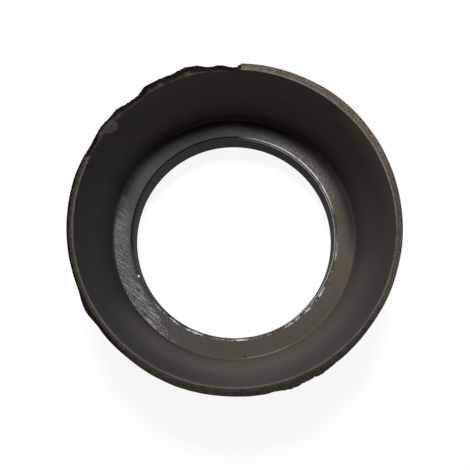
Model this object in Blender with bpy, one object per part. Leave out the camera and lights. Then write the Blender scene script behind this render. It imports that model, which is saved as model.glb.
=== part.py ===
"""Outer ring of a spherical roller bearing: one forged and turned steel ring.  A concave race stands above
a thick inner flange, and a length of the thin rim has broken away.

Run it with: blender --background --python part.py
Units are metres and +Z is up.  The ring stands on its flange with the rim on top.  The origin is on the
axis, in the plane of the base.
"""

from math import asin, atan2, cos, pi, radians, sin, sqrt

import bmesh
import bpy

# --- Driving dimensions -------------------------------------------------------------------------------
OUTER_RADIUS = 0.065  # the cylinder that sits in a housing
HEIGHT = 0.046  # base to rim
RIM_WIDTH = 0.0027  # the wall at its thinnest, across the rim
FLANGE_HEIGHT = 0.013  # base to the flat floor inside the ring
FLOOR_WIDTH = 0.0072  # that floor, from the foot of the race to the bevel of the bore
RACE_FILLET = 0.0012  # between the race and the floor
RIM_EDGE_RADIUS = 0.0004  # rounding on both edges of the rim
BASE_CHAMFER = 0.0015  # outer edge of the base
BORE_BEVEL_WIDTH = 0.0013  # shallow bevel from the floor to the bore, measured across
BORE_BEVEL_DEPTH = 0.0005  # the same bevel, measured down
BORE_CHAMFER = 0.0008  # edge of the bore at the base

# The broken edge of the rim.  It starts with a clean step and runs towards +Y, then -X.
BREAK_START = 89.0  # degrees from +X towards +Y
# (degrees past BREAK_START, depth below the rim on the outer side); above the rim the metal is whole.
BREAK_EDGE = (
    (0.0, 0.0050),
    (3.0, 0.0044),
    (5.5, 0.0032),
    (10.5, 0.0028),
    (14.0, 0.0010),
    (19.0, 0.0003),
    (24.0, 0.0013),
    (29.0, 0.0004),
    (34.0, 0.0006),
    (37.5, 0.0028),
    (42.5, 0.0026),
    (46.5, 0.0006),
    (53.0, 0.0003),
    (57.0, -0.0003),
    (60.5, 0.0008),
    (63.0, 0.0016),
    (65.0, 0.0012),
    (68.0, -0.0003),
)
BREAK_LEAN = 0.0014  # how much shallower the break is on the race side
CUTTER_MARGIN = 0.004  # how far the cutter stands clear of the metal that it removes

# --- Smoothness ---------------------------------------------------------------------------------------
RING_SEGMENTS = 120
RACE_SEGMENTS = 9
FILLET_SEGMENTS = 4
EDGE_SEGMENTS = 3
SMOOTH_ANGLE = 30.0  # degrees between faces, above which an edge stays sharp

RACE_RADIUS = OUTER_RADIUS - RIM_WIDTH  # a sphere whose centre lies on the axis, level with the rim


def clear_scene():
    """Remove what a new Blender file holds."""
    for item in list(bpy.data.objects):
        bpy.data.objects.remove(item, do_unlink=True)


def dark_bearing_steel():
    """Steel under the dark oxide of its heat treatment, satin where it was turned."""
    material = bpy.data.materials.new("dark_bearing_steel")
    material.use_nodes = True
    shader = material.node_tree.nodes["Principled BSDF"]
    shader.inputs["Base Color"].default_value = (0.085, 0.078, 0.070, 1.0)
    shader.inputs["Metallic"].default_value = 0.9
    shader.inputs["Roughness"].default_value = 0.45
    return material


def arc(centre, radius, start, end, segments):
    """Points of an arc, as (radius, height) pairs with both ends."""
    angles = [start + (end - start) * i / segments for i in range(segments + 1)]
    return [(centre[0] + radius * cos(a), centre[1] + radius * sin(a)) for a in angles]


def ring_profile():
    """Outline of the ring's section: down the outside, in along the base, up the bore and the race."""
    outer_edge_centre = (OUTER_RADIUS - RIM_EDGE_RADIUS, HEIGHT - RIM_EDGE_RADIUS)
    outside = arc(outer_edge_centre, RIM_EDGE_RADIUS, pi / 2, 0.0, EDGE_SEGMENTS)
    outside += [(OUTER_RADIUS, BASE_CHAMFER), (OUTER_RADIUS - BASE_CHAMFER, 0.0)]

    # The fillet touches the floor and, from inside, the race.
    fillet_drop = HEIGHT - FLANGE_HEIGHT - RACE_FILLET
    fillet_reach = sqrt((RACE_RADIUS - RACE_FILLET) ** 2 - fillet_drop**2)
    race_bottom = atan2(-fillet_drop, fillet_reach)
    fillet_centre = (fillet_reach, HEIGHT - fillet_drop)
    fillet = arc(fillet_centre, RACE_FILLET, -pi / 2, race_bottom, FILLET_SEGMENTS)

    # The bore follows from how far the floor reaches in.
    bevel_radius = fillet_reach - FLOOR_WIDTH
    bore_radius = bevel_radius - BORE_BEVEL_WIDTH
    bore = [
        (bore_radius + BORE_CHAMFER, 0.0),
        (bore_radius, BORE_CHAMFER),
        (bore_radius, FLANGE_HEIGHT - BORE_BEVEL_DEPTH),
        (bevel_radius, FLANGE_HEIGHT),
    ]

    # The rim's inner rounding touches the rim and, from outside, the race.
    lip_slope = asin(RIM_EDGE_RADIUS / (RACE_RADIUS + RIM_EDGE_RADIUS))
    lip_reach = (RACE_RADIUS + RIM_EDGE_RADIUS) * cos(lip_slope)
    lip_centre = (lip_reach, HEIGHT - RIM_EDGE_RADIUS)
    lip = arc(lip_centre, RIM_EDGE_RADIUS, pi - lip_slope, pi / 2, EDGE_SEGMENTS)
    race = arc((0.0, HEIGHT), RACE_RADIUS, race_bottom, -lip_slope, RACE_SEGMENTS)

    return outside + bore + fillet + race[1:] + lip[1:]


def add_object(name, mesh_builder, material=None):
    """Make an object from a bmesh whose faces all point out."""
    mesh = bpy.data.meshes.new(name)
    bmesh.ops.recalc_face_normals(mesh_builder, faces=mesh_builder.faces)
    mesh_builder.to_mesh(mesh)
    mesh_builder.free()
    if material:
        mesh.materials.append(material)
    item = bpy.data.objects.new(name, mesh)
    bpy.context.scene.collection.objects.link(item)
    return item


def turned_ring(name, material):
    """The whole ring, turned from its section."""
    ring = bmesh.new()
    corners = [ring.verts.new((across, 0.0, up)) for across, up in ring_profile()]
    edges = [ring.edges.new(pair) for pair in zip(corners, corners[1:] + corners[:1])]
    bmesh.ops.spin(
        ring,
        geom=corners + edges,
        cent=(0.0, 0.0, 0.0),
        axis=(0.0, 0.0, 1.0),
        angle=2 * pi,
        steps=RING_SEGMENTS,
        use_merge=True,
    )
    return add_object(name, ring, material)


def break_section(degrees_past_start, depth):
    """Corners of the cutter's section at one angle, whose lower side follows the broken edge."""
    angle = radians(BREAK_START + degrees_past_start)
    lean = BREAK_LEAN / RIM_WIDTH
    inside = RACE_RADIUS - CUTTER_MARGIN
    outside = OUTER_RADIUS + CUTTER_MARGIN
    top = HEIGHT + CUTTER_MARGIN * (1 + lean)
    low_outside = HEIGHT - depth - CUTTER_MARGIN * lean
    low_inside = HEIGHT - depth + (OUTER_RADIUS - inside) * lean
    outline = ((inside, low_inside), (outside, low_outside), (outside, top), (inside, top))
    return [(across * cos(angle), across * sin(angle), up) for across, up in outline]


def rim_break_cutter(name):
    """What has broken off the rim, as a closed block with a ragged lower side."""
    block = bmesh.new()
    sections = [
        [block.verts.new(corner) for corner in break_section(*point)] for point in BREAK_EDGE
    ]
    block.faces.new(sections[0])
    block.faces.new(sections[-1])
    for near, far in zip(sections, sections[1:]):
        for i in range(len(near)):
            j = (i + 1) % len(near)
            block.faces.new((near[i], near[j], far[j], far[i]))
    cutter = add_object(name, block)
    cutter.hide_render = True
    cutter.display_type = "WIRE"
    return cutter


def cut(item, cutter):
    """Take the cutter's shape away from the item."""
    boolean = item.modifiers.new(cutter.name, "BOOLEAN")
    boolean.operation = "DIFFERENCE"
    boolean.solver = "EXACT"
    boolean.object = cutter


def shade_smooth(item):
    """Smooth the round faces and keep the turned corners sharp."""
    item.data.shade_smooth()
    item.data.set_sharp_from_angle(angle=radians(SMOOTH_ANGLE))


def build():
    clear_scene()
    ring = turned_ring("outer_ring", dark_bearing_steel())
    shade_smooth(ring)
    cut(ring, rim_break_cutter("rim_break"))


build()
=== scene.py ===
from math import asin, atan2, cos, pi, radians, sin, sqrt

import bmesh
import bpy
import numpy as np
from mathutils import Matrix, Vector, noise


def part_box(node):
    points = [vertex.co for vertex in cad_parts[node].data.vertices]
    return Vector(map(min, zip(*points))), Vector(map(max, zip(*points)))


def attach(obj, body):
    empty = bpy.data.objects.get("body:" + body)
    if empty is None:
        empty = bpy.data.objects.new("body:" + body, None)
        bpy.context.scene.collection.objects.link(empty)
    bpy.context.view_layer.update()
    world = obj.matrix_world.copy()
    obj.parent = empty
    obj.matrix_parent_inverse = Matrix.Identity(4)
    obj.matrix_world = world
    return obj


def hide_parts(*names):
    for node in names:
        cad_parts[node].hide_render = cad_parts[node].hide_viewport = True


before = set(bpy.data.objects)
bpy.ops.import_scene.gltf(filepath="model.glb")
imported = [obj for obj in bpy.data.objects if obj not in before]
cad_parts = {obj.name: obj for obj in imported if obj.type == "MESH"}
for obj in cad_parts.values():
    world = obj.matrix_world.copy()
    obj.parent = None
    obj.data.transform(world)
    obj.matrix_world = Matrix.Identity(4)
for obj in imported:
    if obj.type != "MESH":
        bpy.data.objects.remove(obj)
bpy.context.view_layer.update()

# The looks of one loose outer ring of a spherical roller bearing.  Lengths are in metres and angles in
# degrees from +X towards +Y.  The ring stands on z = 0 with its axis on z and its rim on top.

# --- Sizes from the frame, and the section's own sizes, which are the CAD part's --------------------------
NODE = "outer_ring"
_, TOP_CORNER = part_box(NODE)
OUTER_RADIUS = TOP_CORNER[0]
HEIGHT = TOP_CORNER[2]
RIM_WIDTH = 0.0027
FLANGE_HEIGHT = 0.013
FLOOR_WIDTH = 0.0072
RACE_FILLET = 0.0012
RIM_EDGE_RADIUS = 0.0004
BASE_CHAMFER = 0.0015
BORE_BEVEL_WIDTH = 0.0013
BORE_BEVEL_DEPTH = 0.0005
BORE_CHAMFER = 0.0008

# What follows from them: the race is a sphere whose centre is level with the rim, and the fillet at its
# foot touches both the race and the floor.
RACE_RADIUS = OUTER_RADIUS - RIM_WIDTH
FILLET_DROP = HEIGHT - FLANGE_HEIGHT - RACE_FILLET
FILLET_REACH = sqrt((RACE_RADIUS - RACE_FILLET) ** 2 - FILLET_DROP**2)
RACE_FOOT_ANGLE = atan2(FILLET_DROP, FILLET_REACH)
RACE_FOOT = HEIGHT - RACE_RADIUS * sin(RACE_FOOT_ANGLE)
BEVEL_RADIUS = FILLET_REACH - FLOOR_WIDTH
BORE_RADIUS = BEVEL_RADIUS - BORE_BEVEL_WIDTH

# The broken edge of the rim, as in the CAD part: (degrees past its start, depth on the outer side).
BREAK_START = 89.0
BREAK_EDGE = (
    (0.0, 0.0050),
    (3.0, 0.0044),
    (5.5, 0.0032),
    (10.5, 0.0028),
    (14.0, 0.0010),
    (19.0, 0.0003),
    (24.0, 0.0013),
    (29.0, 0.0004),
    (34.0, 0.0006),
    (37.5, 0.0028),
    (42.5, 0.0026),
    (46.5, 0.0006),
    (53.0, 0.0003),
    (57.0, -0.0003),
    (60.5, 0.0008),
    (63.0, 0.0016),
    (65.0, 0.0012),
    (68.0, -0.0003),
)
BREAK_LEAN = 0.0014
WHOLE = -1.0  # the break's depth where nothing is broken off
STEP_ROUND = 0.0014  # radius of the corner left standing at the clean step
FULLY_RAGGED = 0.0008  # from this depth on, the broken edge is as ragged as it gets
FULLY_BROKEN = 0.0006  # from this one on, the rim's edges have lost most of their rounding
ROUNDING_LOST = 0.75  # that share of it
ROUGH_FROM = 0.0002  # less of a drop than this leaves the rim's face smooth
RUST_LEAN = 0.45  # rust reaches past the fracture, as if the break leaned by only this share
RUST_FADE = (-0.0001, 0.0004)  # of the break's depth

# Torn metal leaning outward along the break: (degrees, how far it stands proud).
TORN_LEAN = (
    (89.0, 0.0006),
    (96.0, 0.0006),
    (98.5, 0.0002),
    (101.0, 0.0005),
    (104.0, 0.0010),
    (108.0, 0.0014),
    (112.0, 0.0009),
    (118.0, 0.0009),
    (124.0, 0.0011),
    (127.0, 0.0002),
    (132.0, 0.0003),
    (136.0, 0.0006),
    (140.0, 0.0002),
    (144.0, 0.0005),
    (148.0, 0.0000),
)

# --- Relief of the real metal -----------------------------------------------------------------------------
# The tag of metal bent over the race at the end of the break.
TAG_ANGLE = 142.0
TAG_HALF = 3.1  # degrees either side of its middle
TAG_REACH = 0.0034
TAG_HANG = 0.0010
TAG_ROOT = 0.0012  # how far onto the rim it starts
TAG_END = (0.0010, 0.0005)  # it leaves the race between these depths
TAG_SHADED_FROM = 0.3  # its edge takes the fracture's dark colour, as painted shade, wherever it has this share of its reach

# Swellings of the rim's outer corner: how far out, and (middle, degrees either side).
KNOB_OUT, KNOB = 0.0009, (-149.0, 7.0)
LIP_OUT, LIP = 0.0008, (-95.0, 55.0)  # the corner is peened outward
PALE_LIP_OUT, PALE_LIP = 0.0006, (52.0, 46.0)
FLASH_OUT, FLASH = 0.0009, (-66.0, 20.0)  # ragged flash on the lip
FLASH_BASE = 0.45  # the share of the flash that doesn't depend on the ripple
RACE_DENTED = (128.0, 24.0)  # the race is uneven below this stretch of the break

# How deep below the rim each of these moves reaches: from nothing at the first depth to all at the second.
CORNER_DEPTHS = (0.012, 0.0)
KNOB_DEPTHS = (0.006, 0.0)
LIP_DEPTHS = (0.003, 0.0006)
LEAN_DEPTHS = (0.009, 0.003)
DENT_DEPTHS = (0.007, 0.001)
# The lip and the lean also grow across the rim, between these radii.
OUTER_PART = (RACE_RADIUS + 0.0004, OUTER_RADIUS - 0.0006)

# The bevel, in shares of its width from the bore: how far up or down, and (middle, half-width).
BEVEL_LIP, BEVEL_LIP_AT = 0.00016, (0.15, 0.28)
BEVEL_HOLLOW, BEVEL_HOLLOW_AT = 0.00012, (0.55, 0.35)
BURR_UP, BURR_IN, BURR_AT = 0.00022, 0.00040, (1.0, 0.45)
BURR_OUT_MOST = 0.2  # how far, in ripples, the burr may move out from the bore
BURRED = (-75.0, 100.0)  # the stretch where the bore's upper edge is ragged
BURR_LEAST = 0.04  # what is left of the burr elsewhere

# The ground patch on the floor lies between two angles: one end fades, and the other curves back.
GRIND_FROM, GRIND_TO = 150.0, 242.0
GRIND_START_FADE = (-4.0, 48.0)  # degrees past its start
GRIND_END_FADE = (2.0, -7.0)  # degrees past its end
GRIND_SWING, GRIND_SWING_SHIFT = 20.0, 2.0  # degrees
GRIND_DEPTH = 0.00010
GRIND_EDGE = 0.0006  # the hollow starts this gently beside the bevel

# Ripples of the surface: (how far, the length of one feature, seed).
BREAK_RAGGED = (0.00035, 0.0022, 0.0)
BREAK_FINE = (0.00018, 0.0009, 3.0)
FRACTURE_UP = (0.00020, 0.0008, 7.0)
FRACTURE_OUT = (0.00018, 0.0011, 9.0)
RIM_FINE = (0.00006, 0.0015, 2.0)
RIM_BROAD = (0.00010, 0.006, 4.0)
CORNER_BROAD = (0.00026, 0.012, 5.0)
CORNER_FINE = (0.00004, 0.003, 6.0)
FLASH_BROAD = (1.0, 0.004, 31.0)
FLASH_FINE = (0.6, 0.0013, 33.0)
RACE_BROAD = (0.00010, 0.030, 11.0)
RACE_DENTS = (0.0007, 0.005, 13.0)
BURR_BROAD = (1.0, 0.0012, 21.0)
BURR_FINE = (0.7, 0.0005, 23.0)

# --- Mesh density -----------------------------------------------------------------------------------------
FINE_STEP = 0.25  # degrees between stations along the break
COARSE_STEP = 0.75  # and elsewhere
PAST_BREAK = 4.0  # how far past its end the stations stay fine
CORNER_SPAN = 3.0  # the standing corner at the clean step has stations of its own
CORNER_STATIONS = 14
STEP_HALF = 0.05  # degrees either side of the clean step
EDGE_ROWS = 3
CHAMFER_ROWS = 2
RIM_ROWS = 10
OUTSIDE_ROWS = 26
BASE_ROWS = 10
BORE_ROWS = 8
BEVEL_ROWS = 6
FLOOR_ROWS = 18
FILLET_ROWS = 5
RACE_ROWS = 50
RACE_CROWDING = 1.3  # above 1, the race's rows lie closer together towards the rim
SHARP_ANGLE = 32.0  # degrees between faces, above which an edge stays sharp
UV_STRIPS = 2
UV_MARGIN = 0.01
UV_CLOSING = 1.005  # the section's length with its closing stretch, as a multiple of the rest


def smooth_step(low, high, value):
    """0 at low, 1 at high, a smooth rise between, and held past both."""
    t = min(max((value - low) / (high - low), 0.0), 1.0)
    return t * t * (3 - 2 * t)


def bump(value, centre, half_width):
    """1 at the centre, falling smoothly to 0 at half_width either side."""
    t = min(abs(value - centre) / half_width, 1.0)
    return (1 - t * t) ** 2


def angle_gap(angle, centre):
    """Signed degrees from centre to angle, the short way round."""
    return (angle - centre + 180.0) % 360.0 - 180.0


def swelling(angle, place):
    """1 at the place's middle angle, falling smoothly to 0 at its half-width."""
    middle, half_width = place
    return bump(angle_gap(angle, middle), 0.0, half_width)


def ripple(angle, up, kind):
    """Smooth noise on the ring, between plus and minus how far the kind goes."""
    far, length, seed = kind
    a = radians(angle)
    place = Vector((OUTER_RADIUS * cos(a), OUTER_RADIUS * sin(a), up + seed)) / length
    return far * noise.noise(place)


# --- The break --------------------------------------------------------------------------------------------
def break_depth(angle):
    """Depth of the broken edge below the rim on the outer side, with its fine raggedness."""
    past = (angle - BREAK_START) % 360.0
    if past > BREAK_EDGE[-1][0]:
        short = radians(360.0 - past) * OUTER_RADIUS
        if short > STEP_ROUND:
            return WHOLE
        return BREAK_LEAN + STEP_ROUND - sqrt(STEP_ROUND**2 - (STEP_ROUND - short) ** 2)
    depth = float(np.interp(past, *zip(*BREAK_EDGE)))
    if depth <= 0:
        return depth
    ragged = ripple(angle, 0.0, BREAK_RAGGED) + ripple(angle, 0.0, BREAK_FINE)
    return depth + ragged * smooth_step(0.0, FULLY_RAGGED, depth)


def rim_drop(angle, across):
    """How far the top of the wall has dropped at this radius."""
    lean = BREAK_LEAN * (OUTER_RADIUS - across) / RIM_WIDTH
    return max(0.0, break_depth(angle) - lean)


def rust(angle, across):
    """How rusty the rim is at this place: the fracture itself, and a margin on its race side."""
    lean = RUST_LEAN * BREAK_LEAN * (OUTER_RADIUS - across) / RIM_WIDTH
    return smooth_step(*RUST_FADE, break_depth(angle) - lean)


# --- The ring's section -----------------------------------------------------------------------------------
def between(start, end, count):
    """Points of a straight run, without its first point."""
    return [
        (start[0] + (end[0] - start[0]) * i / count, start[1] + (end[1] - start[1]) * i / count)
        for i in range(1, count + 1)
    ]


def arc(centre, radius, start, end, count):
    """Points of an arc, without its first point, angles in radians."""
    angles = [start + (end - start) * i / count for i in range(1, count + 1)]
    return [(centre[0] + radius * cos(a), centre[1] + radius * sin(a)) for a in angles]


def race_point(height):
    """The race's (radius, height) at a height."""
    return sqrt(RACE_RADIUS**2 - (HEIGHT - height) ** 2), height


def section(angle):
    """Bands of the section at one angle: (band name, points), running down the outside first."""
    drop_in = rim_drop(angle, RACE_RADIUS)
    drop_out = rim_drop(angle, OUTER_RADIUS)
    broken = smooth_step(0.0, FULLY_BROKEN, drop_out)
    edge = RIM_EDGE_RADIUS * (1 - ROUNDING_LOST * broken)
    top_out, top_in = HEIGHT - drop_out, HEIGHT - drop_in

    lip_slope = asin(edge / (RACE_RADIUS + edge))
    lip = race_point(top_in - edge)
    rim_start = (lip[0] + edge, top_in)
    rim_end = (OUTER_RADIUS - edge, top_out)
    rim = [rim_start] + between(rim_start, rim_end, RIM_ROWS)
    rim = [(across, min(up, HEIGHT - rim_drop(angle, across))) for across, up in rim]
    outer_edge = arc((rim_end[0], top_out - edge), edge, pi / 2, 0.0, EDGE_ROWS)

    outside_top = (OUTER_RADIUS, top_out - edge)
    outside_foot = (OUTER_RADIUS, BASE_CHAMFER)
    outside = between(outside_top, outside_foot, OUTSIDE_ROWS)
    base_edge = between(outside_foot, (OUTER_RADIUS - BASE_CHAMFER, 0.0), CHAMFER_ROWS)
    base = between(base_edge[-1], (BORE_RADIUS + BORE_CHAMFER, 0.0), BASE_ROWS)
    bore_edge = between(base[-1], (BORE_RADIUS, BORE_CHAMFER), CHAMFER_ROWS)
    bore = between(bore_edge[-1], (BORE_RADIUS, FLANGE_HEIGHT - BORE_BEVEL_DEPTH), BORE_ROWS)
    bevel = between(bore[-1], (BEVEL_RADIUS, FLANGE_HEIGHT), BEVEL_ROWS)
    floor = between(bevel[-1], (FILLET_REACH, FLANGE_HEIGHT), FLOOR_ROWS)

    fillet_centre = (FILLET_REACH, FLANGE_HEIGHT + RACE_FILLET)
    fillet = arc(fillet_centre, RACE_FILLET, -pi / 2, -RACE_FOOT_ANGLE, FILLET_ROWS)
    race_rise = top_in - edge - RACE_FOOT
    shares = [1 - (1 - i / RACE_ROWS) ** RACE_CROWDING for i in range(1, RACE_ROWS + 1)]
    race = [race_point(RACE_FOOT + race_rise * share) for share in shares]
    inner_edge = arc((lip[0] + edge, top_in - edge), edge, pi - lip_slope, pi / 2, EDGE_ROWS)[:-1]
    return (
        ("rim", rim),
        ("rim", outer_edge),
        ("outside", outside),
        ("outside", base_edge),
        ("base", base),
        ("bore", bore_edge),
        ("bore", bore),
        ("bevel", bevel),
        ("floor", floor),
        ("race", fillet),
        ("race", race),
        ("rim", inner_edge),
    )


# --- How the metal moves away from its section ------------------------------------------------------------
def relief(band, angle, across, up):
    """Small moves of the surface, out from the axis and up, that make the metal real."""
    out, rise = 0.0, 0.0
    depth = HEIGHT - up
    if band == "rim":
        out, rise = rim_relief(angle, across)
    if band in ("rim", "outside"):
        out += corner_relief(angle, across, up)
    if band == "race":
        out += ripple(angle, up, RACE_BROAD)
        out += swelling(angle, RACE_DENTED) * smooth_step(*DENT_DEPTHS, depth) * ripple(angle, up, RACE_DENTS)
    if band in ("rim", "race"):
        loose = smooth_step(RACE_RADIUS + TAG_ROOT, RACE_RADIUS, across)
        if band == "race":
            loose = smooth_step(*TAG_END, depth)
        out -= TAG_REACH * tag_shape(angle) * loose
        rise -= TAG_HANG * tag_shape(angle) * loose
    if band == "floor":
        inside = smooth_step(BEVEL_RADIUS, BEVEL_RADIUS + GRIND_EDGE, across)
        rise -= GRIND_DEPTH * grind_mask(angle, across) * inside
    if band in ("bevel", "floor"):
        out, rise = bevel_relief(angle, across, out, rise)
    return out, rise


def rim_relief(angle, across):
    """The fracture is rough both ways; the rim's face is only a little uneven, and never proud."""
    if rim_drop(angle, across) > ROUGH_FROM:
        return ripple(angle, across, FRACTURE_OUT), ripple(angle, across, FRACTURE_UP)
    rise = ripple(angle, across, RIM_FINE) - RIM_FINE[0]
    rise += ripple(angle, across, RIM_BROAD) - RIM_BROAD[0]
    return 0.0, rise


def corner_relief(angle, across, up):
    """Moves of the rim's outer corner: swellings, the peened lip, flash and torn metal."""
    depth = HEIGHT - up
    uneven = ripple(angle, 0.0, CORNER_BROAD) + ripple(angle, up, CORNER_FINE)
    out = smooth_step(*CORNER_DEPTHS, depth) * uneven
    out += KNOB_OUT * swelling(angle, KNOB) * smooth_step(*KNOB_DEPTHS, depth)
    outer_part = smooth_step(*OUTER_PART, across)
    ragged = ripple(angle, 0.0, FLASH_BROAD) + ripple(angle, 0.0, FLASH_FINE)
    lip = LIP_OUT * swelling(angle, LIP) ** 0.5
    lip += PALE_LIP_OUT * swelling(angle, PALE_LIP) ** 0.5
    lip += FLASH_OUT * swelling(angle, FLASH) * max(0.0, FLASH_BASE + ragged)
    out += lip * outer_part * smooth_step(*LIP_DEPTHS, depth)
    lean = float(np.interp(angle % 360.0, *zip(*TORN_LEAN), left=0.0, right=0.0))
    return out + lean * outer_part * smooth_step(*LEAN_DEPTHS, depth)


def tag_shape(angle):
    """How much of the bent tag's reach it has at this angle, 0 to 1."""
    gap = angle_gap(angle, TAG_ANGLE) / TAG_HALF
    return max(0.0, 1.0 - gap**4)


def bevel_relief(angle, across, out, rise):
    """Add the bevel's raised inner lip, and the ragged burr on its outer edge."""
    share = (across - BORE_RADIUS) / BORE_BEVEL_WIDTH
    rise += BEVEL_LIP * bump(share, *BEVEL_LIP_AT) - BEVEL_HOLLOW * bump(share, *BEVEL_HOLLOW_AT)
    ragged = ripple(angle, 0.0, BURR_BROAD) + ripple(angle, 0.0, BURR_FINE)
    burred = BURR_LEAST + (1 - BURR_LEAST) * swelling(angle, BURRED)
    burr = bump(share, *BURR_AT) * burred
    out -= BURR_IN * max(-BURR_OUT_MOST, ragged) * burr
    return out, rise + BURR_UP * max(0.0, ragged) * burr


def grind_mask(angle, across):
    """1 where the floor has been ground bright."""
    share = (across - BEVEL_RADIUS) / FLOOR_WIDTH
    end = GRIND_TO + GRIND_SWING * (share - 1.0) + GRIND_SWING_SHIFT
    before_end = smooth_step(*GRIND_END_FADE, angle_gap(angle, end))
    return before_end * smooth_step(*GRIND_START_FADE, angle_gap(angle, GRIND_FROM))


# --- The mesh ---------------------------------------------------------------------------------------------
BANDS = ("race", "floor", "bevel", "bore", "rim", "outside", "base")  # each has its own material


def station_angles():
    """Angles round the ring, closer together along the broken rim and in pairs at its clean step."""
    fine_end = BREAK_START + BREAK_EDGE[-1][0] + PAST_BREAK
    before_step = BREAK_START + 360.0 - STEP_HALF
    corner = before_step - CORNER_SPAN
    fine = np.arange(BREAK_START + STEP_HALF, fine_end, FINE_STEP)
    coarse = np.arange(fine_end, corner, COARSE_STEP)
    standing = np.linspace(corner, before_step, CORNER_STATIONS)
    return [float(a) for a in np.concatenate([fine, coarse, standing])]


def torn(band, angle, across):
    """How far the rim's material shows fracture here; the bent tag's edge takes the same dark colour as
    painted shade.
    """
    if band != "rim":
        return 0.0
    share = rust(angle, across)
    if across < RACE_RADIUS + RIM_EDGE_RADIUS:
        share = max(share, smooth_step(0.0, TAG_SHADED_FROM, tag_shape(angle)))
    return share


def attribute(mesh, name, values):
    """Store one number for each vertex, for the materials to read."""
    layer = mesh.attributes.new(name, "FLOAT", "POINT")
    layer.data.foreach_set("value", values)


def ring_mesh(name, materials):
    """The ring as one closed mesh, its section swept round the axis."""
    angles = station_angles()
    bands = [band for band, points in section(0.0) for _ in points]
    verts, ground, broken = [], [], []
    for angle in angles:
        a = radians(angle)
        for band, points in section(angle):
            for across, up in points:
                out, rise = relief(band, angle, across, up)
                verts.append(((across + out) * cos(a), (across + out) * sin(a), up + rise))
                ground.append(grind_mask(angle, across) if band == "floor" else 0.0)
                broken.append(torn(band, angle, across))
    count, rows = len(angles), len(bands)
    faces, slots = [], []
    for i in range(count):
        here, there = i * rows, (i + 1) % count * rows
        for j in range(rows):
            k = (j + 1) % rows
            faces.append((here + j, here + k, there + k, there + j))
            slots.append(BANDS.index(bands[k]))
    mesh = bpy.data.meshes.new(name)
    mesh.from_pydata(verts, [], faces)
    for band in BANDS:
        mesh.materials.append(materials[band])
    mesh.polygons.foreach_set("material_index", slots)
    attribute(mesh, "ground", ground)
    # broken also carries the painted shade on the bent tag's edge.
    attribute(mesh, "broken", broken)
    unroll(mesh, angles)
    make_faces_point_out(mesh)
    mesh.shade_smooth()
    mesh.set_sharp_from_angle(angle=radians(SHARP_ANGLE))
    return mesh


def section_runs():
    """Distance along the whole section to each of its points, on the unbroken side."""
    points = [point for _, band_points in section(0.0) for point in band_points]
    runs = [0.0]
    for start, end in zip(points, points[1:]):
        runs.append(runs[-1] + sqrt((end[0] - start[0]) ** 2 + (end[1] - start[1]) ** 2))
    return runs


def unroll(mesh, angles):
    """Lay the ring out flat for baking, as strips of half a turn, one above the other."""
    runs = section_runs()
    fractions = [(angle - angles[0]) / 360.0 for angle in angles] + [1.0]
    heights = [run / (runs[-1] * UV_CLOSING) for run in runs] + [1.0]
    inner = 1 - 2 * UV_MARGIN
    places = []
    for i in range(len(angles)):
        strip = int(fractions[i] * UV_STRIPS)
        left, right = (UV_MARGIN + (fractions[i + n] * UV_STRIPS - strip) * inner for n in (0, 1))
        for j in range(len(runs)):
            low, high = ((strip + UV_MARGIN + heights[j + n] * inner) / UV_STRIPS for n in (0, 1))
            for place in ((left, low), (left, high), (right, high), (right, low)):
                places += place
    mesh.uv_layers.new(name="OFBake").data.foreach_set("uv", places)


def make_faces_point_out(mesh):
    """Turn the mesh's faces so that they all point out."""
    work = bmesh.new()
    work.from_mesh(mesh)
    bmesh.ops.recalc_face_normals(work, faces=work.faces)
    work.to_mesh(mesh)
    work.free()


# --- Material nodes ---------------------------------------------------------------------------------------
LINE_STRETCH = 60.0  # a turning mark is this much longer than it is wide


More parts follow.
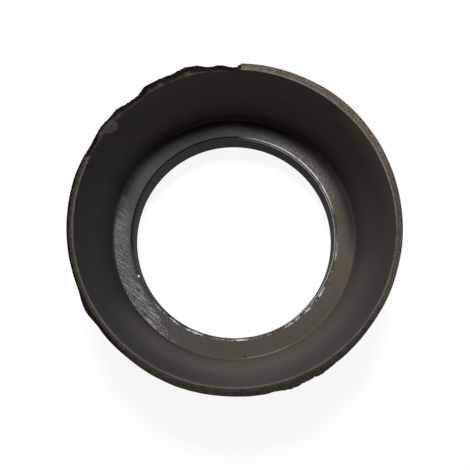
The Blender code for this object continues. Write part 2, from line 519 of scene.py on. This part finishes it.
class Nodes:
    """A material's node tree, with short calls for the nodes used here."""

    def __init__(self, name):
        self.material = bpy.data.materials.new(name)
        self.material.use_nodes = True
        self.tree = self.material.node_tree
        self.shader = self.tree.nodes["Principled BSDF"]

    def add(self, kind, inputs=(), **settings):
        node = self.tree.nodes.new(kind)
        for key, value in settings.items():
            setattr(node, key, value)
        for key, value in dict(inputs).items():
            self.put(node.inputs[key], value)
        return node

    def put(self, socket, value):
        if isinstance(value, bpy.types.NodeSocket):
            self.tree.links.new(value, socket)
        else:
            socket.default_value = value

    def set(self, **values):
        """Set or link the shader's own sockets; an underscore stands for a space."""
        for key, value in values.items():
            self.put(self.shader.inputs[key.replace("_", " ")], value)

    # Places on the ring.
    def place(self):
        return self.add("ShaderNodeTexCoord").outputs["Object"]

    def parts(self, vector):
        split = self.add("ShaderNodeSeparateXYZ", {0: vector})
        return split.outputs["X"], split.outputs["Y"], split.outputs["Z"]

    def joined(self, x, y, z):
        return self.add("ShaderNodeCombineXYZ", {"X": x, "Y": y, "Z": z}).outputs[0]

    def height(self):
        return self.parts(self.place())[2]

    def radius(self):
        x, y, _ = self.parts(self.place())
        squares = self.maths("ADD", self.maths("MULTIPLY", x, x), self.maths("MULTIPLY", y, y))
        return self.maths("SQRT", squares)

    def number(self, name):
        return self.add("ShaderNodeAttribute", attribute_name=name).outputs["Fac"]

    # Sums.
    def maths(self, operation, a, b=0.0):
        return self.add("ShaderNodeMath", {0: a, 1: b}, operation=operation).outputs[0]

    def rise(self, value, low, high, bottom=0.0, top=1.0):
        """Map low..high to bottom..top, held at both ends."""
        inputs = {"Value": value, "From Min": low, "From Max": high, "To Min": bottom, "To Max": top}
        return self.add("ShaderNodeMapRange", inputs).outputs["Result"]

    def both(self, *factors):
        """The product of some masks and shares."""
        result = factors[0]
        for factor in factors[1:]:
            result = self.maths("MULTIPLY", result, factor)
        return result

    def most(self, *factors):
        """The largest of some masks."""
        result = factors[0]
        for factor in factors[1:]:
            result = self.maths("MAXIMUM", result, factor)
        return result

    # Masks.
    def near(self, stretch):
        """1 on a stretch of the ring: (middle, degrees either side, degrees of fade past them)."""
        middle, half_width, fade = stretch
        x, y, _ = self.parts(self.place())
        towards_x = self.maths("MULTIPLY", x, cos(radians(middle)))
        towards_y = self.maths("MULTIPLY", y, sin(radians(middle)))
        cosine = self.maths("DIVIDE", self.maths("ADD", towards_x, towards_y), self.radius())
        return self.rise(cosine, cos(radians(half_width + fade)), cos(radians(half_width)))

    def ring_line(self, radius, half_width):
        """1 on a circle round the axis, fading to 0 half_width away."""
        gap = self.maths("ABSOLUTE", self.maths("SUBTRACT", self.radius(), radius))
        return self.rise(gap, half_width, 0.0)

    def firm_line(self, radius, half_width):
        """The same line with a full middle and a narrow fade."""
        return self.rise(self.ring_line(radius, half_width), 0.0, 0.4)

    def below_rim(self, start, end):
        """0 where the depth below the rim is start, and 1 where it is end."""
        return self.rise(self.height(), HEIGHT - start, HEIGHT - end)

    def before_foot(self, start, end):
        """On the floor: 0 where the race's foot is start away, and 1 where it is end away."""
        return self.rise(self.radius(), FILLET_REACH - start, FILLET_REACH - end)

    # Patterns and colours.
    def noise(self, vector, scale, detail, roughness):
        """Noise about 0.5; where the vector is a place, scale is in features per metre."""
        inputs = {"Vector": vector, "Scale": scale, "Detail": detail, "Roughness": roughness}
        return self.add("ShaderNodeTexNoise", inputs).outputs["Fac"]

    def turned_lines(self, step, pitch):
        """Noise drawn out into fine lines round the axis, as a lathe leaves them.

        step says how far across the lines a place is: its height on a wall, its radius on a face.
        """
        x, y, _ = self.parts(self.place())
        spread = 1.0 / (pitch * LINE_STRETCH)
        vector = self.joined(
            self.maths("MULTIPLY", x, spread),
            self.maths("MULTIPLY", y, spread),
            self.maths("MULTIPLY", step, 1.0 / pitch),
        )
        return self.noise(vector, 1.0, 3.0, 0.6)

    def mix(self, factor, a, b):
        node = self.add("ShaderNodeMix", data_type="RGBA")
        for socket, value in ((0, factor), (6, a), (7, b)):
            self.put(node.inputs[socket], value)
        return node.outputs[2]

    def cover(self, under, over, *masks):
        """Lay one colour over another where all the masks say so."""
        return self.mix(self.both(*masks), under, over)

    def bump(self, height, distance, strength, normal=None):
        node = self.add(
            "ShaderNodeBump", {"Height": height, "Distance": distance, "Strength": strength}
        )
        if normal:
            self.put(node.inputs["Normal"], normal)
        return node.outputs["Normal"]


def colour(red, green, blue):
    return (red, green, blue, 1.0)


# --- Race -------------------------------------------------------------------------------------------------
# Each finish has a darker and a lighter colour, and takes both in spots.
RACE_PLAIN = colour(0.081, 0.073, 0.059), colour(0.101, 0.090, 0.072)
# Painted shade: away from its lit stretch the race takes the much darker shaded pair, and on the +Y side the
# brown pair, a real brown tint kept as dark as that painted shade.
RACE_SHADED_OXIDE = colour(0.023, 0.0215, 0.0170), colour(0.034, 0.0315, 0.0255)
RACE_SHADED_BROWN = colour(0.022, 0.0125, 0.0060), colour(0.034, 0.0215, 0.0120)
# Lighter colours of the race's grain, also used for its painted sheen.
RACE_LIGHT, RACE_LIGHT_BROWN = colour(0.20, 0.19, 0.165), colour(0.160, 0.122, 0.086)
RACE_PAINTED_SHADE = colour(0.012, 0.011, 0.009)
RACE_FOOT_SHADE = colour(0.030, 0.025, 0.019)
HAIRLINE_STEEL = colour(0.30, 0.29, 0.26)
BROWN_STAIN = colour(0.110, 0.074, 0.047)

# Stretches of the ring, here and for the materials below: (middle, degrees either side, degrees of fade).
# Where the race keeps its plain, lit colour; away from it the race is darkened with painted shade.
RACE_LIT_SIDE = (-66.0, 22.0, 68.0)
RACE_BROWN_SIDE = (72.0, 25.0, 60.0)
SHADED_TOP = (-92.0, 70.0, 40.0)
SHADED_WALL = (178.0, 18.0, 22.0)
SHADED_SHOULDER = (-172.0, 52.0, 30.0)
SHEEN_BELLY = (-80.0, 30.0, 40.0)
SHEEN_FAR_BELLY = (88.0, 65.0, 25.0)
SHADED_FOOT = (-125.0, 12.0, 40.0)
SHADED_FAR_FOOT = (85.0, 70.0, 45.0)
HAIRLINE = (-75.0, 8.0, 5.0)
STAINED = (14.0, 14.0, 22.0)


def race_oxide(nodes, blotch):
    """The race's own colour, and the lighter one of its grain: grey on one side, brown on the other, both
    darkened with painted shade away from -Y, with more painted shade and a painted sheen laid over.
    """
    shade = nodes.rise(blotch, 0.35, 0.65)
    brown_side = nodes.near(RACE_BROWN_SIDE)
    oxide = nodes.mix(shade, *RACE_SHADED_OXIDE)
    oxide = nodes.cover(oxide, nodes.mix(shade, *RACE_PLAIN), nodes.near(RACE_LIT_SIDE))
    oxide = nodes.cover(oxide, nodes.mix(shade, *RACE_SHADED_BROWN), brown_side)
    light = nodes.mix(brown_side, RACE_LIGHT, RACE_LIGHT_BROWN)

    # Painted shade: the -Y wall darker towards the rim, the -X wall, and its shoulder.
    shaded = nodes.most(
        nodes.both(nodes.below_rim(0.026, 0.010), nodes.near(SHADED_TOP), 0.46),
        nodes.both(nodes.near(SHADED_WALL), 0.30),
    )
    oxide = nodes.cover(oxide, RACE_PAINTED_SHADE, shaded)
    oxide = nodes.cover(oxide, RACE_PAINTED_SHADE, nodes.below_rim(0.022, 0.012), nodes.near(SHADED_SHOULDER), 0.60)
    # Painted sheen: lighter bands low on the -Y wall and on the +Y wall.
    oxide = nodes.cover(oxide, light, nodes.below_rim(0.020, 0.026), nodes.near(SHEEN_BELLY), 0.18)
    oxide = nodes.cover(oxide, light, nodes.below_rim(0.010, 0.025), nodes.near(SHEEN_FAR_BELLY), 0.12)
    return oxide, nodes.mix(0.45, oxide, light)


def race_shade_and_wear(nodes, surface):
    """Painted shade in the fillet, a bright hairline beside it and a ragged brown stain under the rim."""
    # Painted shade in the fillet's crease: strongest towards -X-Y, faint on the +Y side.
    foot = nodes.both(
        nodes.ring_line(FILLET_REACH + 0.0004, 0.0011),
        nodes.rise(nodes.near(SHADED_FOOT), 0.0, 1.0, 0.45, 0.90),
    )
    far_foot = nodes.both(
        nodes.ring_line(FILLET_REACH + 0.0008, 0.0026), nodes.near(SHADED_FAR_FOOT), 0.15
    )
    surface = nodes.cover(surface, RACE_FOOT_SHADE, nodes.most(foot, far_foot))
    hairline = nodes.ring_line(FILLET_REACH + 0.0001, 0.0002)
    surface = nodes.cover(surface, HAIRLINE_STEEL, hairline, nodes.near(HAIRLINE), 0.7)
    ragged = nodes.noise(nodes.place(), 160.0, 4.0, 0.65)
    ragged_height = nodes.maths("ADD", nodes.height(), nodes.maths("MULTIPLY", ragged, 0.012))
    near_rim = nodes.rise(ragged_height, HEIGHT - 0.0090, HEIGHT + 0.0045)
    return nodes.cover(surface, BROWN_STAIN, near_rim, nodes.near(STAINED), 0.9)


def race_material():
    """Satin dark oxide with faint lathe bands: charcoal, and brown on the +Y side, with painted shade and a
    painted sheen.
    """
    nodes = Nodes("race_satin_oxide")
    blotch = nodes.noise(nodes.place(), 38.0, 4.0, 0.55)
    grain = nodes.noise(nodes.place(), 2600.0, 2.0, 0.6)
    bands = nodes.turned_lines(nodes.height(), 0.0022)
    fine_bands = nodes.turned_lines(nodes.height(), 0.0006)
    oxide, lighter = race_oxide(nodes, blotch)
    surface = nodes.mix(nodes.rise(bands, 0.40, 0.66, 0.0, 0.08), oxide, lighter)
    surface = nodes.mix(nodes.rise(grain, 0.3, 0.7, 0.0, 0.4), surface, lighter)
    nodes.set(Base_Color=race_shade_and_wear(nodes, surface), Metallic=0.15, Specular_IOR_Level=0.06)
    nodes.set(Roughness=nodes.rise(blotch, 0.3, 0.7, 0.38, 0.48))
    nodes.set(Normal=nodes.bump(grain, 0.00003, 0.6, nodes.bump(fine_bands, 0.00002, 0.4)))
    return nodes.material


# --- Floor ------------------------------------------------------------------------------------------------
FLOOR_WARM = colour(0.062, 0.050, 0.033), colour(0.155, 0.131, 0.095)
FLOOR_COOL = colour(0.048, 0.045, 0.036), colour(0.130, 0.121, 0.100)
FLOOR_BLOTCH = colour(0.078, 0.067, 0.049)
FLOOR_SHADE = colour(0.012, 0.011, 0.008)
FLOOR_SPARKLE = colour(0.31, 0.30, 0.265)
FLOOR_FOOT_SHADE = colour(0.016, 0.014, 0.010)
FLOOR_PAINTED_SHADOW = colour(0.006, 0.005, 0.004)
FLOOR_BY_RACE = colour(0.094, 0.086, 0.070)
SCRATCHES = colour(0.022, 0.021, 0.019), colour(0.290, 0.285, 0.268)
SCRATCHES_SHADED = colour(0.040, 0.037, 0.031)
PIT_BLACK = colour(0.004, 0.004, 0.004)

FLOOR_WARM_SIDE = (-25.0, 45.0, 50.0)
FLOOR_SHADES = ((135.0, 30.0, 25.0), (32.0, 10.0, 20.0))
SPARKLING = (50.0, 18.0, 20.0)
SHADED_FLOOR_FOOT = (40.0, 25.0, 25.0)
SHADOWED_FLOOR = (85.0, 78.0, 18.0)
BLENDED_FLOOR = (-95.0, 45.0, 30.0)
SHADED_SCRATCHES = (178.0, 10.0, 24.0)
PIT = (-85.0, 0.35, 0.25)
SCRATCH_RUN = (0.79, -0.61)  # the direction of the scratches


def plain_floor(nodes, speckle):
    """Speckled taupe, with painted shade and a painted shadow towards the race and painted sparkle by the
    bore in places.
    """
    shade = nodes.rise(speckle, 0.35, 0.68)
    blotch = nodes.noise(nodes.place(), 90.0, 4.0, 0.6)
    coarse = nodes.noise(nodes.place(), 1500.0, 3.0, 0.75)
    plain = nodes.mix(shade, *FLOOR_COOL)
    plain = nodes.cover(plain, nodes.mix(shade, *FLOOR_WARM), nodes.near(FLOOR_WARM_SIDE))
    plain = nodes.cover(plain, FLOOR_BLOTCH, nodes.rise(blotch, 0.42, 0.62, 0.0, 0.35))
    # Painted shade where the +Y wall shades the floor.
    for stretch in FLOOR_SHADES:
        plain = nodes.cover(plain, FLOOR_SHADE, nodes.near(stretch), 0.35)
    # Painted sparkle: bright specks by the bore on the +X+Y side, a painted highlight.
    by_bore = nodes.rise(nodes.radius(), BEVEL_RADIUS + 0.0060, BEVEL_RADIUS)
    sparkle = nodes.both(by_bore, nodes.rise(coarse, 0.46, 0.62), nodes.near(SPARKLING), 0.75)
    plain = nodes.cover(plain, FLOOR_SPARKLE, sparkle)
    # Painted shade at the race's foot on the +X+Y side, and a painted shadow at the foot of the +Y wall.
    plain = nodes.cover(plain, FLOOR_FOOT_SHADE, nodes.before_foot(0.0056, 0.0012), nodes.near(SHADED_FLOOR_FOOT), 0.92)
    plain = nodes.cover(plain, FLOOR_PAINTED_SHADOW, nodes.before_foot(0.0032, 0.0005), nodes.near(SHADOWED_FLOOR), 0.80)
    return nodes.cover(plain, FLOOR_BY_RACE, nodes.before_foot(0.0030, 0.0), nodes.near(BLENDED_FLOOR), 0.8)


def streak_noise(nodes, along_scale, across_scale):
    """Noise drawn out along the scratches' direction."""
    x, y, _ = nodes.parts(nodes.place())
    run_x, run_y = SCRATCH_RUN
    along = nodes.maths("ADD", nodes.maths("MULTIPLY", x, run_x), nodes.maths("MULTIPLY", y, run_y))
    across = nodes.maths("ADD", nodes.maths("MULTIPLY", x, -run_y), nodes.maths("MULTIPLY", y, run_x))
    place = nodes.joined(
        nodes.maths("MULTIPLY", along, along_scale), nodes.maths("MULTIPLY", across, across_scale), 0.0
    )
    return nodes.noise(place, 1.0, 3.0, 0.65)


def ground_patch(nodes, streaks):
    """Where the floor is scratched: the mesh's ground patch with a ragged edge, faint beside the bore."""
    ragged = nodes.noise(nodes.place(), 200.0, 3.0, 0.6)
    ground = nodes.maths("ADD", nodes.number("ground"), nodes.rise(ragged, 0.2, 0.8, -0.35, 0.35))
    ground = nodes.maths("ADD", ground, nodes.rise(streaks, 0.3, 0.7, -0.25, 0.25))
    from_bore = nodes.maths("SUBTRACT", nodes.radius(), BEVEL_RADIUS)
    from_bore = nodes.maths("ADD", from_bore, nodes.maths("MULTIPLY", ragged, 0.0030))
    return nodes.both(
        nodes.rise(ground, 0.2, 0.8),
        nodes.rise(nodes.number("ground"), 0.02, 0.2),
        nodes.rise(from_bore, 0.0020, 0.0034, 0.25, 1.0),
    )


def floor_material():
    """Taupe speckled floor, ground to bright parallel scratches over part of its length."""
    nodes = Nodes("floor_ground_steel")
    speckle = nodes.noise(nodes.place(), 2300.0, 3.0, 0.7)
    streaks = streak_noise(nodes, 150.0, 2500.0)
    cuts = nodes.rise(streak_noise(nodes, 90.0, 1700.0), 0.56, 0.62)
    scratches = nodes.maths(
        "ADD", nodes.rise(streaks, 0.38, 0.64, 0.0, 0.55), nodes.maths("MULTIPLY", cuts, 0.7)
    )
    # Painted shade dims the scratches towards -X.
    bright = nodes.cover(nodes.mix(scratches, *SCRATCHES), SCRATCHES_SHADED, nodes.near(SHADED_SCRATCHES), 0.50)
    patch = ground_patch(nodes, streaks)
    surface = nodes.mix(patch, plain_floor(nodes, speckle), bright)
    pit = nodes.both(nodes.ring_line(FILLET_REACH - 0.0004, 0.0005), nodes.near(PIT))
    nodes.set(Base_Color=nodes.cover(surface, PIT_BLACK, pit), Specular_IOR_Level=0.3)
    nodes.set(Metallic=nodes.rise(patch, 0.0, 1.0, 0.35, 0.7))
    nodes.set(Roughness=nodes.rise(patch, 0.0, 1.0, 0.60, 0.44))
    grain = nodes.bump(speckle, 0.00004, 0.6)
    nodes.set(Normal=nodes.bump(nodes.both(scratches, patch), 0.00010, 0.7, grain))
    return nodes.material


# --- Bevel and bore ---------------------------------------------------------------------------------------
BEVEL_DULL = colour(0.046, 0.042, 0.035), colour(0.092, 0.085, 0.072)
BEVEL_SHADE = colour(0.030, 0.025, 0.019)
BEVEL_PAINTED_SHADOW = colour(0.003, 0.002, 0.0015)
EDGE_GLINT = colour(0.90, 0.89, 0.85)
BORE_OXIDE_AND_SHADE = colour(0.011, 0.009, 0.007), colour(0.022, 0.018, 0.015)
BORE_STAIN = colour(0.016, 0.011, 0.007)
BORE_SHADE = colour(0.008, 0.006, 0.004)

BURR_SHOWS = (-72.0, 52.0, 25.0)
FAR_EDGE = (50.0, 22.0, 16.0)
INNER_EDGE = (-15.0, 80.0, 25.0)
NICK = (-157.0, 0.4, 0.4)
SHADOWED_BEVEL_EDGE = (130.0, 52.0, 8.0)
SHADED_BEVEL = (110.0, 75.0, 20.0)
SHADED_BORE = (45.0, 22.0, 22.0)
# Painted glint line: it runs just inside the bevel's outer corner.
BEVEL_EDGE = BEVEL_RADIUS - 0.0002  # the bright line runs just inside the bevel's outer corner


def edge_glints(nodes):
    """Painted glints where the bevel's ragged burr, its edges and a nick catch the light."""
    fine_teeth = nodes.noise(nodes.place(), 1500.0, 3.0, 0.75)
    coarse_teeth = nodes.noise(nodes.place(), 210.0, 2.0, 0.5)
    teeth = nodes.rise(nodes.maths("ADD", fine_teeth, coarse_teeth), 0.98, 1.12)
    thin = nodes.rise(nodes.noise(nodes.place(), 240.0, 2.0, 0.5), 0.32, 0.50, 0.4, 1.0)
    return nodes.most(
        nodes.both(nodes.ring_line(BEVEL_EDGE, 0.0007), nodes.near(BURR_SHOWS), teeth),
        nodes.both(nodes.firm_line(BEVEL_EDGE, 0.0004), nodes.near(FAR_EDGE), thin),
        nodes.both(nodes.ring_line(BORE_RADIUS, 0.0003), nodes.near(INNER_EDGE), thin),
        nodes.both(nodes.firm_line(BEVEL_RADIUS - 0.0003, 0.0005), nodes.near(NICK)),
    )


def bevel_material():
    """The narrow bevel round the bore: dull steel with painted shade on the +Y side, a painted shadow and
    painted glints at its edges, ragged on the -Y side.
    """
    nodes = Nodes("bevel_cut_steel")
    lines = nodes.turned_lines(nodes.radius(), 0.0004)
    surface = nodes.mix(nodes.rise(lines, 0.35, 0.65), *BEVEL_DULL)
    # Painted shade over the +Y half, and a painted shadow of the burr just inside the outer edge on the -X+Y
    # side.
    surface = nodes.cover(surface, BEVEL_SHADE, nodes.near(SHADED_BEVEL))
    surface = nodes.cover(surface, BEVEL_PAINTED_SHADOW, nodes.ring_line(BEVEL_EDGE, 0.0006), nodes.near(SHADOWED_BEVEL_EDGE))
    nodes.set(Base_Color=nodes.cover(surface, EDGE_GLINT, edge_glints(nodes)))
    nodes.set(Metallic=0.0, Specular_IOR_Level=0.2, Roughness=0.5)
    nodes.set(Normal=nodes.bump(lines, 0.00004, 0.6))
    return nodes.material


def bore_material():
    """The bore: turned, stained with old grease, and dark with oxide and painted shade, darkest in painted
    shade on the +X+Y stretch.
    """
    nodes = Nodes("bore_turned_steel")
    lines = nodes.turned_lines(nodes.height(), 0.0005)
    stain = nodes.noise(nodes.place(), 55.0, 4.0, 0.6)
    surface = nodes.mix(nodes.rise(lines, 0.35, 0.65), *BORE_OXIDE_AND_SHADE)
    surface = nodes.cover(surface, BORE_STAIN, nodes.rise(stain, 0.5, 0.7, 0.0, 0.6))
    # Painted shade: darkest on the +X+Y stretch.
    surface = nodes.cover(surface, BORE_SHADE, nodes.near(SHADED_BORE))
    nodes.set(Base_Color=surface, Metallic=0.1, Specular_IOR_Level=0.03, Roughness=0.6)
    nodes.set(Normal=nodes.bump(lines, 0.00004, 0.5))
    return nodes.material


# --- Rim --------------------------------------------------------------------------------------------------
RIM_SCALE = colour(0.030, 0.023, 0.015), colour(0.072, 0.060, 0.044)
RIM_WARM = colour(0.055, 0.043, 0.030), colour(0.125, 0.103, 0.078)
RIM_PALE = colour(0.066, 0.056, 0.042), colour(0.196, 0.166, 0.124)
RIM_BLACK = colour(0.006, 0.004, 0.002)
RIM_POLISH_HIGHLIGHT = colour(0.150, 0.142, 0.118)
RIM_GLINT = colour(0.36, 0.34, 0.29)
RUST = colour(0.012, 0.007, 0.002), colour(0.038, 0.026, 0.010)
RUST_CRUST = colour(0.006, 0.003, 0.0005)
RUST_WORN_HIGHLIGHT = colour(0.105, 0.094, 0.072)

WARM_RIM = (20.0, 35.0, 30.0)
PALE_RIM = (62.0, 24.0, 30.0)
BLACK_CORNER = (162.0, 62.0, 20.0)
DARK_CORNER = (-92.0, 48.0, 14.0)
WHOLE_BRIGHT_EDGE = (-110.0, 90.0, 15.0)
NO_BRIGHT_EDGE = (121.0, 25.0, 10.0)
GLINTING = (48.0, 38.0, 12.0)
WORN_LIT_BREAK = (124.0, 24.0, 8.0)


def rim_face(nodes, shade, blotch, ragged_radius):
    """Scale, warm and pale stretches, a dark outer corner, and a polished inner one with a painted highlight
    and a painted glint.
    """
    wander = nodes.maths("MULTIPLY", nodes.maths("SUBTRACT", blotch, 0.5), 0.9)
    face = nodes.mix(shade, *RIM_SCALE)
    for stretch, finish in ((WARM_RIM, RIM_WARM), (PALE_RIM, RIM_PALE)):
        inside = nodes.rise(nodes.maths("ADD", nodes.near(stretch), wander), 0.25, 0.75)
        face = nodes.cover(face, nodes.mix(shade, *finish), inside)
    outer = nodes.rise(ragged_radius, OUTER_RADIUS - 0.0007, OUTER_RADIUS - 0.0001)
    dark = nodes.most(nodes.near(BLACK_CORNER), nodes.both(nodes.near(DARK_CORNER), 0.3))
    face = nodes.cover(face, RIM_BLACK, outer, dark, 0.95)
    # Painted highlight along the polished inner edge, whole towards -Y and dotted elsewhere, then a painted
    # glint towards +X+Y.
    dotted = nodes.rise(nodes.noise(nodes.place(), 620.0, 2.0, 0.6), 0.42, 0.58)
    polish_highlight = nodes.both(
        nodes.ring_line(RACE_RADIUS + 0.0003, 0.0006),
        nodes.rise(nodes.near(NO_BRIGHT_EDGE), 0.0, 1.0, 1.0, 0.0),
        nodes.most(dotted, nodes.near(WHOLE_BRIGHT_EDGE)),
    )
    face = nodes.cover(face, RIM_POLISH_HIGHLIGHT, polish_highlight, nodes.rise(blotch, 0.3, 0.6, 0.4, 0.9))
    glint = nodes.both(nodes.ring_line(RACE_RADIUS + 0.0002, 0.0004), nodes.near(GLINTING), 0.6)
    return nodes.cover(face, RIM_GLINT, glint, nodes.rise(blotch, 0.35, 0.50, 0.3, 1.0))


def rim_fracture(nodes, shade, blotch, ragged_radius):
    """Brown rust, crusted on the outer side, and worn lighter with a painted highlight beside the race."""
    crust = nodes.rise(ragged_radius, OUTER_RADIUS - 0.0022, OUTER_RADIUS - 0.0004)
    fracture = nodes.cover(nodes.mix(shade, *RUST), RUST_CRUST, crust)
    worn_highlight = nodes.both(nodes.ring_line(RACE_RADIUS + 0.0002, 0.0006), nodes.near(WORN_LIT_BREAK), 0.6)
    return nodes.cover(fracture, RUST_WORN_HIGHLIGHT, worn_highlight, nodes.rise(blotch, 0.35, 0.55))


def rim_material():
    """Rim face: brown scale, paler speckled metal on two stretches, and rusty fracture."""
    nodes = Nodes("rim_scaled_steel")
    speckle = nodes.noise(nodes.place(), 1100.0, 4.0, 0.75)
    blotch = nodes.noise(nodes.place(), 170.0, 4.0, 0.6)
    shade = nodes.rise(speckle, 0.38, 0.66)
    ragged_radius = nodes.maths("ADD", nodes.radius(), nodes.maths("MULTIPLY", blotch, 0.0010))
    face = rim_face(nodes, shade, blotch, ragged_radius)
    fracture = rim_fracture(nodes, shade, blotch, ragged_radius)
    nodes.set(Base_Color=nodes.mix(nodes.number("broken"), face, fracture))
    nodes.set(Metallic=0.2, Specular_IOR_Level=0.08, Roughness=nodes.rise(blotch, 0.3, 0.7, 0.56, 0.70))
    nodes.set(Normal=nodes.bump(speckle, 0.0001, 0.9))
    return nodes.material


# --- Outside and base -------------------------------------------------------------------------------------
OUTSIDE_OXIDE = colour(0.080, 0.071, 0.058), colour(0.108, 0.098, 0.083)
OUTSIDE_BLOOM = colour(0.095, 0.066, 0.042)
BASE_CLEAN = colour(0.15, 0.145, 0.135), colour(0.27, 0.26, 0.245)
BASE_SPOTS = colour(0.085, 0.068, 0.05)


def outside_material():
    """Outer cylinder: dark oxide over fine turning marks, with brown blooms."""
    nodes = Nodes("outside_dark_oxide")
    lines = nodes.turned_lines(nodes.height(), 0.0004)
    bloom = nodes.noise(nodes.place(), 32.0, 5.0, 0.62)
    oxide = nodes.mix(nodes.rise(lines, 0.35, 0.65), *OUTSIDE_OXIDE)
    nodes.set(Base_Color=nodes.cover(oxide, OUTSIDE_BLOOM, nodes.rise(bloom, 0.50, 0.68, 0.0, 0.75)))
    nodes.set(Metallic=0.55, Roughness=nodes.rise(bloom, 0.35, 0.65, 0.38, 0.56))
    nodes.set(Normal=nodes.bump(lines, 0.00005, 0.6))
    return nodes.material


def base_material():
    """Base face: ground flat, with circular marks and dull spots."""
    nodes = Nodes("base_ground_steel")
    lines = nodes.turned_lines(nodes.radius(), 0.0010)
    spots = nodes.noise(nodes.place(), 70.0, 5.0, 0.6)
    clean = nodes.mix(nodes.rise(lines, 0.35, 0.65), *BASE_CLEAN)
    nodes.set(Base_Color=nodes.cover(clean, BASE_SPOTS, nodes.rise(spots, 0.48, 0.66, 0.0, 0.7)))
    nodes.set(Metallic=0.75, Roughness=0.38, Normal=nodes.bump(lines, 0.00005, 0.6))
    return nodes.material


def build_ring():
    """Make the ring, which stands for the CAD part's one solid."""
    materials = {
        "race": race_material(),
        "floor": floor_material(),
        "bevel": bevel_material(),
        "bore": bore_material(),
        "rim": rim_material(),
        "outside": outside_material(),
        "base": base_material(),
    }
    ring = bpy.data.objects.new("ring", ring_mesh("ring", materials))
    bpy.context.scene.collection.objects.link(ring)
    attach(ring, "root")
    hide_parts(NODE)


# --- Studio -----------------------------------------------------------------------------------------------
CAMERA_TILT = 9.68  # degrees off the ring's axis
CAMERA_TURN = -0.53
CAMERA_DISTANCE = 4.0 * OUTER_RADIUS  # along the line of sight, to the middle of the rim
CAMERA_LIFT = 0.078 * OUTER_RADIUS  # the rim's middle stands this far above the middle of the view
FOCAL_RATIO = 1.434  # focal length over the frame's width
SENSOR = 36.0
NEAREST = 0.01
AMBIENT = 0.055  # strength of the white surroundings
SWEEP_RISE = (0.10, 0.16)  # the bright paper behind the scene fades out between these slopes
SWEEP_GLOW = 0.80
WINDOW_PLACE = (-0.03, 0.575, 1.05)
WINDOW_SIZE = (0.30, 0.25)
WINDOW_POWER = 11.5  # watts
FILL_PLACE = (0.0, -0.75, 0.85)  # a dim light from the near side, into the foot of the far wall
FILL_SIZE = (0.6, 0.4)
FILL_POWER = 1.0
PAPER_HALF = 3.0  # half of the floor's side
PAPER_GAP = 0.0002  # between the base and the paper
PAPER_SHADE = 0.16  # what the paper gives back of the light on it
PAPER_GLOW = 0.90  # keeps the paper near white where the ring shades it
WHITE = colour(1.0, 1.0, 1.0)


def add_camera():
    """A camera almost on the ring's axis, at the distance of a hand-held phone."""
    data = bpy.data.cameras.new("camera")
    data.sensor_width = SENSOR
    data.lens = SENSOR * FOCAL_RATIO
    data.clip_start = NEAREST
    camera = bpy.data.objects.new("camera", data)
    turn = Matrix.Rotation(radians(CAMERA_TILT), 4, "X") @ Matrix.Rotation(radians(CAMERA_TURN), 4, "Y")
    rim_middle = Vector((0.0, 0.0, HEIGHT))
    offset = turn @ Vector((0.0, -CAMERA_LIFT, CAMERA_DISTANCE))
    camera.matrix_world = Matrix.Translation(rim_middle + offset) @ turn
    bpy.context.scene.collection.objects.link(camera)
    bpy.context.scene.camera = camera


def add_area_light(name, place, size, power):
    """A white rectangular light that shines towards the ring's base."""
    data = bpy.data.lights.new(name, "AREA")
    data.shape = "RECTANGLE"
    data.size, data.size_y = size
    data.energy = power
    light = bpy.data.objects.new(name, data)
    light.location = place
    light.rotation_euler = (-Vector(place)).to_track_quat("-Z", "Y").to_euler()
    bpy.context.scene.collection.objects.link(light)


def add_studio():
    """Dim white surroundings, a bright sweep of paper low all round, and two lights."""
    world = bpy.data.worlds.new("studio")
    world.use_nodes = True
    tree = world.node_tree
    background = tree.nodes["Background"]
    background.inputs["Color"].default_value = WHITE
    direction = tree.nodes.new("ShaderNodeTexCoord").outputs["Generated"]
    split = tree.nodes.new("ShaderNodeSeparateXYZ")
    rise = tree.nodes.new("ShaderNodeMapRange")
    limits = zip(("From Min", "From Max", "To Min", "To Max"), (*SWEEP_RISE, SWEEP_GLOW, AMBIENT))
    for name, value in limits:
        rise.inputs[name].default_value = value
    tree.links.new(direction, split.inputs[0])
    tree.links.new(split.outputs["Z"], rise.inputs["Value"])
    tree.links.new(rise.outputs["Result"], background.inputs["Strength"])
    bpy.context.scene.world = world
    add_area_light("window", WINDOW_PLACE, WINDOW_SIZE, WINDOW_POWER)
    add_area_light("fill", FILL_PLACE, FILL_SIZE, FILL_POWER)
    bpy.context.scene.view_settings.view_transform = "Standard"


def add_floor():
    """The pale paper that the ring stands on."""
    mesh = bpy.data.meshes.new("floor")
    corners = [
        (x * PAPER_HALF, y * PAPER_HALF, -PAPER_GAP) for x, y in ((-1, -1), (1, -1), (1, 1), (-1, 1))
    ]
    mesh.from_pydata(corners, [], [(0, 1, 2, 3)])
    floor = bpy.data.objects.new("floor", mesh)
    bpy.context.scene.collection.objects.link(floor)
    nodes = Nodes("floor_paper")
    nodes.set(Base_Color=colour(PAPER_SHADE, PAPER_SHADE, PAPER_SHADE), Roughness=0.9, Specular_IOR_Level=0.0)
    nodes.set(Emission_Color=WHITE, Emission_Strength=PAPER_GLOW)
    mesh.materials.append(nodes.material)


build_ring()
add_camera()
add_studio()
add_floor()
